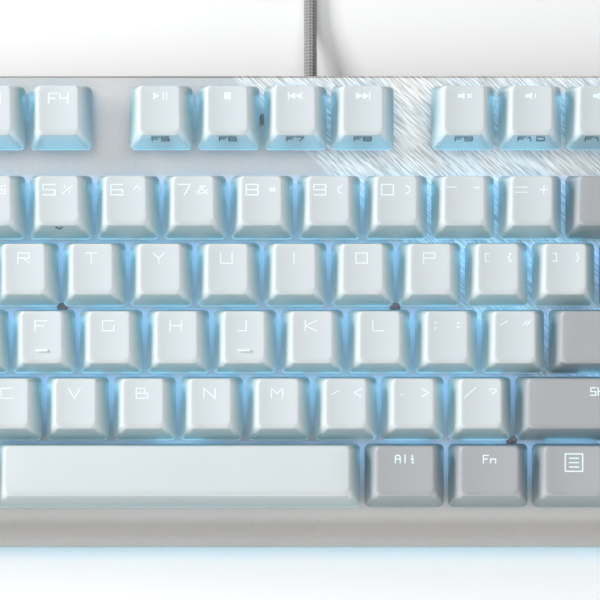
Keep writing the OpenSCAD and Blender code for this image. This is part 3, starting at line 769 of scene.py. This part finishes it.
def pair_legend(key, text):
    """A digit or sign at the left, and the sign it gives with Shift at the right."""
    f, top = key.form, key.top
    y = key.top_back - DIGIT_DOWN
    plain, shifted = text
    if plain.isdigit():
        wide = shifted in WIDE_SYMBOLS
        size = (SYMBOL_SIZE[0] * (1.4 if wide else 1), SYMBOL_SIZE[1])
        draw(f, top, GLYPHS[plain], (DIGIT_X, y), DIGIT_SIZE, LIT, DIGIT_STROKE)
        draw(f, top, GLYPHS[shifted], (WIDE_SYMBOL_X if wide else SYMBOL_X, y), size, LIT)
    else:
        size = DIGIT_SIZE if plain in WIDE_SIGNS else SYMBOL_SIZE
        draw(f, top, GLYPHS[plain], (SIGN_PAIR_X[0], y), size, LIT)
        draw(f, top, GLYPHS[shifted], (SIGN_PAIR_X[1], y), SYMBOL_SIZE, LIT)


def legend(key, text):
    """A key's legend: a letter, a pair of signs, an icon or a word."""
    f, top = key.form, key.top
    if text.startswith("F") and text[1:].isdigit():
        function_legend(key, text)
    elif text in ICONS:
        size = MENU_SIZE if text == "menu" else ARROW_SIZE
        icon(f, top, text, (0, key.top_back - ARROW_DOWN), size, LIT, MEDIUM)
    elif len(text) == 2 and not text[1].isalnum():
        pair_legend(key, text)
    elif len(text) == 1:
        draw(f, top, GLYPHS[text], (LETTER_X, key.top_back - LETTER_DOWN), LETTER_SIZE, LIT)
    elif text:
        narrow = key.width_u < 1.2 and len(text) > 3
        size = (WORD_SIZE[0] * (0.72 if narrow else 1), WORD_SIZE[1] * (0.85 if narrow else 1))
        word(f, top, text, (0, key.top_back - WORD_DOWN), size, LIT, THIN if narrow else PLAIN)


# Where the keys of each body stand
PLACES = {}


def make_key(name, body, left_u, width_u, row, text, cap_material, node=None):
    """One key on its body: its left edge and width in key units, its row and its legend."""
    key = Key(left_u, width_u, row)
    key.cap()
    key.stems()
    legend(key, text)
    if text in ("F", "J"):
        key.homing_bar()
    if text == "5%":
        chevron = [(-0.9 * MM, 2 * MM), (0, FRONT_DOWN), (0.9 * MM, 2 * MM)]
        key.form.ribbon(key.front, chevron, 0.4 * MM, DARK)
    made = key.form.build(name, [cap_material, LEGEND, STEM, INK], key.place())
    PLACES.setdefault(body, []).append(key.place())
    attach(made, body)
    if node:
        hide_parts(node)


def make_keys():
    """Keys with a node of their own, then the keys that share a node."""
    for letters, left_u, row in (("QWERTYUIOP", 1.5, 2), ("ASDFGHJKL", 1.75, 3), ("ZXCVBNM", 2.25, 4)):
        for i, c in enumerate(letters):
            node = "key_" + c.lower()
            make_key("cap_" + c.lower(), node, left_u + i, 1, row, c, WHITE_CAP, node)
    for node, left_u, width_u, row, text, cap in (
            ("key_space", 4.5, 5.5, 5, "", WHITE_CAP), ("key_enter", 12.75, 2.25, 3, "Enter", GREY_CAP),
            ("key_backspace", 13, 2, 1, "back", GREY_CAP), ("key_left_shift", 0, 2.25, 4, "Shift", GREY_CAP),
            ("key_right_shift", 12.25, 2.75, 4, "Shift", GREY_CAP)):
        make_key(node.replace("key_", "cap_"), node, left_u, width_u, row, text, cap, node)
    groups = {
        "function_keys": [(0, 1, 0, "Esc")] + [(2 + i + 0.5 * (i // 4), 1, 0, f"F{i + 1}")
                                               for i in range(12)],
        "number_keys": [(i, 1, 1, t) for i, t in
                        enumerate("`~ 1! 2@ 3# 4$ 5% 6^ 7& 8* 9( 0) -_ =+".split())],
        "punctuation_keys": [(11.5, 1, 2, "[{"), (12.5, 1, 2, "]}"), (13.5, 1.5, 2, "\\|"),
                             (10.75, 1, 3, ";:"), (11.75, 1, 3, "'\""),
                             (9.25, 1, 4, ",<"), (10.25, 1, 4, ".>"), (11.25, 1, 4, "/?")],
        "modifier_keys": [(0, 1.5, 2, "Tab"), (0, 1.75, 3, "Caps"), (0, 2, 5, "Ctrl"),
                          (2, 1.25, 5, "diamond"), (3.25, 1.25, 5, "Alt"), (10, 1.25, 5, "Alt"),
                          (11.25, 1.25, 5, "Fn"), (12.5, 1.25, 5, "menu"), (13.75, 1.25, 5, "Ctrl")],
        "navigation_keys": [(15.25 + i, 1, r, t) for r, texts in enumerate(
            ("Prt Scr Pau", "Ins Home PgUp", "Del End PgDn")) for i, t in enumerate(texts.split())],
        "arrow_keys": [(16.25, 1, 4, "up"), (15.25, 1, 5, "left"), (16.25, 1, 5, "down"),
                       (17.25, 1, 5, "right")],
    }
    grey_groups = ("modifier_keys", "navigation_keys", "arrow_keys")
    for group, keys in groups.items():
        for i, (left_u, width_u, row, text) in enumerate(keys):
            cap = GREY_CAP if group in grey_groups or text == "\\|" else WHITE_CAP
            node = group if i == 0 else None
            make_key(f"{group}_{i + 1}", group, left_u, width_u, row, text, cap, node)


make_keys()


# ---- switch springs ----

SPRING_LOW, SPRING_HIGH = -4 * MM, 4.6 * MM
SPRING_R, SPRING_WIRE_R = 1.78 * MM, 0.2 * MM
SPRING_TURNS, SPRING_STEPS, WIRE_SIDES = 7, 12, 6
# The share of the spring's wire that lies flat at each end
SPRING_CLOSED = 0.12


def spring_rings(place):
    """Rings along a coil spring with closed ends, under a key."""
    rings = []
    count = SPRING_TURNS * SPRING_STEPS
    low, high = SPRING_LOW + SPRING_WIRE_R, SPRING_HIGH - SPRING_WIRE_R
    for i in range(count + 1):
        a = 2 * math.pi * i / SPRING_STEPS
        share = min(max((i / count - SPRING_CLOSED) / (1 - 2 * SPRING_CLOSED), 0), 1)
        out = Vector((math.cos(a), math.sin(a), 0))
        centre = out * SPRING_R + Vector((0, 0, low + (high - low) * share - CAP_LIFT))
        ring = []
        for k in range(WIRE_SIDES):
            b = 2 * math.pi * k / WIRE_SIDES
            ring.append(place @ (centre + out * SPRING_WIRE_R * math.cos(b)
                                 + Vector((0, 0, SPRING_WIRE_R * math.sin(b)))))
        rings.append(ring)
        if i in (0, count):
            tip = [place @ centre]
            rings = [tip] + rings if i == 0 else rings + [tip]
    return rings


def make_springs():
    """One piece for the springs of each body's keys."""
    steel = metal("spring_steel", (0.7, 0.7, 0.72), 0.25)
    for k, (body, places) in enumerate(PLACES.items()):
        form = Form()
        for place in places:
            form.skin(spring_rings(place))
        made = form.build("springs_of_" + body, [steel])
        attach(made, "case")
        if k == 0:
            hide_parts("switch_springs")
        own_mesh(made)


make_springs()


# ---- cable ----

def smooth_path(points, step=2.0 * MM):
    """A smooth line through points, by cubic curves with the same direction at each point."""
    pts = [Vector(p) for p in points]
    ways = [(pts[min(i + 1, len(pts) - 1)] - pts[max(i - 1, 0)]) for i in range(len(pts))]
    line = []
    for i in range(len(pts) - 1):
        a, b = pts[i], pts[i + 1]
        gap = (b - a).length
        ta, tb = ways[i].normalized() * gap, ways[i + 1].normalized() * gap
        cuts = max(1, round(gap / step))
        for j in range(cuts):
            t = j / cuts
            line.append((2 * t ** 3 - 3 * t ** 2 + 1) * a + (t ** 3 - 2 * t ** 2 + t) * ta
                        + (3 * t ** 2 - 2 * t ** 3) * b + (t ** 3 - t ** 2) * tb)
    line.append(pts[-1])
    return line


# When a turn changes its column (0 is the outer) or layer: start and end in turns, then the new place
COIL_STEPS = [(0.8, 1.0, 1, 0), (1.8, 2.0, 2, 0), (2.8, 3.0, 3, 0), (3.5, 3.75, 3, 1), (4.2, 4.45, 2, 1),
              (5.2, 5.45, 1, 1), (6.2, 6.45, 0, 1), (6.95, 7.15, 0, 2), (7.7, 7.9, 1, 2), (8.7, 8.9, 2, 2),
              (9.7, 9.9, 3, 2), (10.4, 10.6, 3, 3), (11.1, 11.3, 2, 3)]
COIL_TURNS = 12
POINTS_A_TURN = 60


def coil_line():
    """The middle line of the stored coil: turns side by side, in layers."""
    outer = COIL_R + CABLE_D * (COIL_COLUMNS - 1) / 2
    centre = Vector((LEAD_ROUTE[0][0] * MM - outer, COIL_Y, 0))
    line = []
    for k in range(COIL_TURNS * POINTS_A_TURN + 1):
        t = k / POINTS_A_TURN
        column, layer = 0.0, 0.0
        for start, end, new_column, new_layer in COIL_STEPS:
            share = min(1, max(0, (t - start) / (end - start)))
            share = share * share * (3 - 2 * share)
            column += (new_column - column) * share
            layer += (new_layer - layer) * share
        r = outer - column * CABLE_D
        a = 2 * math.pi * t
        line.append(centre + Vector((r * math.cos(a), r * math.sin(a),
                                     COIL_LOW + CABLE_D * (0.5 + layer))))
    return line


def tube(name, line, diameter, sides=12):
    """A closed tube along a line; its UV map 'run' holds its turns and its length in metres."""
    points, faces, runs = [], [], []
    up = Vector((0, 0, 1))
    run = 0.0
    normal = None
    for i, p in enumerate(line):
        way = (line[min(i + 1, len(line) - 1)] - line[max(i - 1, 0)]).normalized()
        if normal is None:
            normal = way.cross(up).normalized()
        normal = (normal - way * normal.dot(way)).normalized()
        other = way.cross(normal)
        if i:
            run += (p - line[i - 1]).length
        runs.append(run)
        for s in range(sides):
            a = 2 * math.pi * s / sides
            points.append(p + (normal * math.cos(a) + other * math.sin(a)) * diameter / 2)
    n = len(line)
    for i in range(n - 1):
        for s in range(sides):
            t = (s + 1) % sides
            faces.append([i * sides + s, i * sides + t, (i + 1) * sides + t, (i + 1) * sides + s])
    faces.append(list(reversed(range(sides))))
    faces.append([(n - 1) * sides + s for s in range(sides)])
    mesh = bpy.data.meshes.new(name)
    mesh.from_pydata(points, [], faces)
    uv = mesh.uv_layers.new(name="run").data
    for k, face in enumerate(faces[:-2]):
        i, s = divmod(k, sides)
        corners = [(s / sides, runs[i]), ((s + 1) / sides, runs[i]), ((s + 1) / sides, runs[i + 1]),
                   (s / sides, runs[i + 1])]
        for j, corner in enumerate(corners):
            uv[mesh.polygons[k].loop_start + j].uv = corner
    mesh.polygons.foreach_set("use_smooth", [True] * len(faces))
    mesh.set_sharp_from_angle(angle=math.radians(50))
    made = bpy.data.objects.new(name, mesh)
    bpy.context.scene.collection.objects.link(made)
    return made


# The plug has its full width past this, in millimetres from the cable
SHOULDER_END = 9


def plug_profile():
    """Millimetres along the plug from the cable, and its size there as a share of its full size."""
    ribs = [(at + d, size - dip) for at, size in ((0, 0.66), (2, 0.7), (4, 0.74))
            for d, dip in ((0.4, 0), (1.2, 0), (1.5, 0.14), (2.1, 0.14))]
    grips = [(at + d, size) for at in (12, 14, 16, 18)
             for d, size in ((-0.5, 1.0), (-0.2, 0.95), (0.2, 0.95), (0.5, 1.0))]
    shoulder = [(7, 0.88), (7.8, 0.97), (8.6, 1)]
    nose = [(24.8, 1), (25.5, 0.98), (26, 0.92)]
    return [(0, 0.6)] + ribs + shoulder + grips + nose


def make_plug():
    """The moulded body of the plug, ribbed where the cable bends and grooved for the fingers."""
    form = Form()
    rings = []
    for run, size in plug_profile():
        width = size if run > SHOULDER_END else size ** 1.3
        shape = outline(PLUG_W / 2 * width, -PLUG_T / 2 * size, PLUG_T / 2 * size, PLUG_CORNER * size, 3, 2)
        rings.append([(x, PLUG_BACK - run * MM, PLUG_T / 2 + z) for x, z in shape])
    start, end = rings[0][0][1], rings[-1][0][1]
    form.skin([[(0, start, PLUG_T / 2)]] + rings + [[(0, end, PLUG_T / 2)]])
    tip, root = PLUG_BACK - PLUG_L - TONGUE_L, PLUG_BACK - PLUG_L + 0.5 * MM
    tongue = [(TONGUE_HALF_W, tip), (TONGUE_HALF_W, root), (-TONGUE_HALF_W, root), (-TONGUE_HALF_W, tip)]
    form.prism(tongue, PLUG_T / 2 + 0.1 * MM, PLUG_T / 2 + 1.5 * MM)
    made = form.build("plug_grip", [moulded("plug_plastic", (0.04, 0.04, 0.043), 0.5)],
                      Matrix.Translation((PLUG_X, 0, 0)))
    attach(made, "case")
    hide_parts("usb_plug_body")


make_plug()


def make_cable():
    """The whole braided cable as one cord, from the strain relief to the plug."""
    lead = smooth_path([[c * MM for c in p] for p in LEAD_ROUTE] + [coil_line()[0]])
    tail = smooth_path([coil_line()[-1]] + [[c * MM for c in p] for p in TAIL_ROUTE])
    line = lead[:-1] + coil_line() + tail[1:]
    cable = tube("usb_cable_braided", line, CABLE_D)
    cable.data.materials.append(braid())
    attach(cable, "case")
    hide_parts("usb_cable", "cable_coil", "cable_tail")


make_cable()


# ---- the CAD pieces that stay ----

def coat(node, material):
    """Gives a CAD piece that is kept its material."""
    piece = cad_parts[node]
    piece.data.materials.clear()
    piece.data.materials.append(material)


def coat_frame():
    """A material for each CAD piece that is kept."""
    dark = moulded("case_plastic", (0.035, 0.036, 0.04), 0.55, size=1800)
    rubber = moulded("pad_rubber", (0.02, 0.02, 0.02), 0.8, shine=0.25)
    coat("top_plate", plate_metal())
    coat("bottom_case", dark)
    for side in ("left", "right"):
        coat(side + "_tilt_foot", dark)
    coat("rubber_feet", rubber)
    coat("cable_strain_relief", moulded("relief_rubber", (0.25, 0.25, 0.26), 0.6))
    coat("circuit_board", board_mask())
    coat("board_components", moulded("chip_epoxy", (0.02, 0.02, 0.02), 0.4))
    # The switch bases and covers glow with painted light from the LEDs
    coat("switch_bases", lit_cover("base_plastic", (0.2, 0.3, 0.36), (0.12, 0.5, 1.0), 1.5))
    coat("switch_covers", lit_cover("cover_plastic", (0.6, 0.75, 0.85), (0.24, 0.64, 0.93), 8.0))
    coat("key_leds", lit_plastic("led_lens", (0.7, 0.9, 1.0), (0.25, 0.65, 1.0), 5.0))
    coat("switch_contacts", metal("contact_brass", (0.8, 0.6, 0.3), 0.3))
    coat("stabilizer_wires", metal("wire_steel", (0.7, 0.7, 0.72), 0.25))
    # The stabilizer housings glow with painted light from the LEDs
    coat("stabilizer_housings", lit_plastic("stabilizer_plastic", (0.7, 0.82, 0.9), (0.25, 0.6, 1.0), 0.25))
    coat("case_screws", metal("screw_steel", (0.16, 0.17, 0.185), 0.3))
    coat("inner_lead", moulded("wire_jacket", (0.7, 0.7, 0.7), 0.4))
    coat("cable_tie", moulded("strap_fabric", (0.03, 0.03, 0.03), 0.9, grain=0.0003, size=1500))
    coat("usb_plug_shell", metal("plug_steel", (0.8, 0.8, 0.82), 0.2, (300, 2500, 300)))


coat_frame()


# ---- floor and light ----

def make_floor():
    """A plain white table top."""
    mesh = bpy.data.meshes.new("floor")
    size = 3.0
    corners = [(-size, -size, 0), (size, -size, 0), (size, size, 0), (-size, size, 0)]
    mesh.from_pydata(corners, [], [(0, 1, 2, 3)])
    floor = bpy.data.objects.new("floor", mesh)
    bpy.context.scene.collection.objects.link(floor)
    g = Graph("floor_paper")
    g.shade(Base_Color=(0.96, 0.96, 0.96, 1), Roughness=0.9)
    mesh.materials.append(g.material)


def area_light(name, location, target, size, power, color=(1, 1, 1), spread=180):
    """A rectangular light of that power in watts, whose beam spreads that many degrees."""
    data = bpy.data.lights.new(name, "AREA")
    data.shape = "RECTANGLE"
    data.size, data.size_y = size
    data.energy = power
    data.color = color
    data.spread = math.radians(spread)
    lamp = bpy.data.objects.new(name, data)
    lamp.matrix_world = look(location, target, (0, 1, 0.01))
    lamp.visible_camera = False
    bpy.context.scene.collection.objects.link(lamp)


def make_light():
    """Soft light from above, the left and the front, and the glow under the front edge."""
    world = bpy.data.worlds.new("studio")
    world.use_nodes = True
    world.node_tree.nodes["Background"].inputs["Color"].default_value = (1, 1, 1, 1)
    world.node_tree.nodes["Background"].inputs["Strength"].default_value = 0.17
    bpy.context.scene.world = world
    area_light("key", (-0.85, 0.36, 0.55), (0, 0, 0), (0.35, 0.4), 9)
    area_light("top", (0, -0.25, 1.2), (0, -0.25, 0), (1.5, 2.1), 12.3)
    area_light("front", (0, -1.0, 0.3), (0, 0, 0), (2.0, 0.22), 1.8)
    area_light("under_glow", (0, -0.066, 0.0006), (0, -0.1, 0.0002), (0.34, 0.0009), 0.004,
               (0.02, 0.65, 1.0), spread=50)
    bpy.context.scene.view_settings.view_transform = "Standard"


make_floor()
make_light()
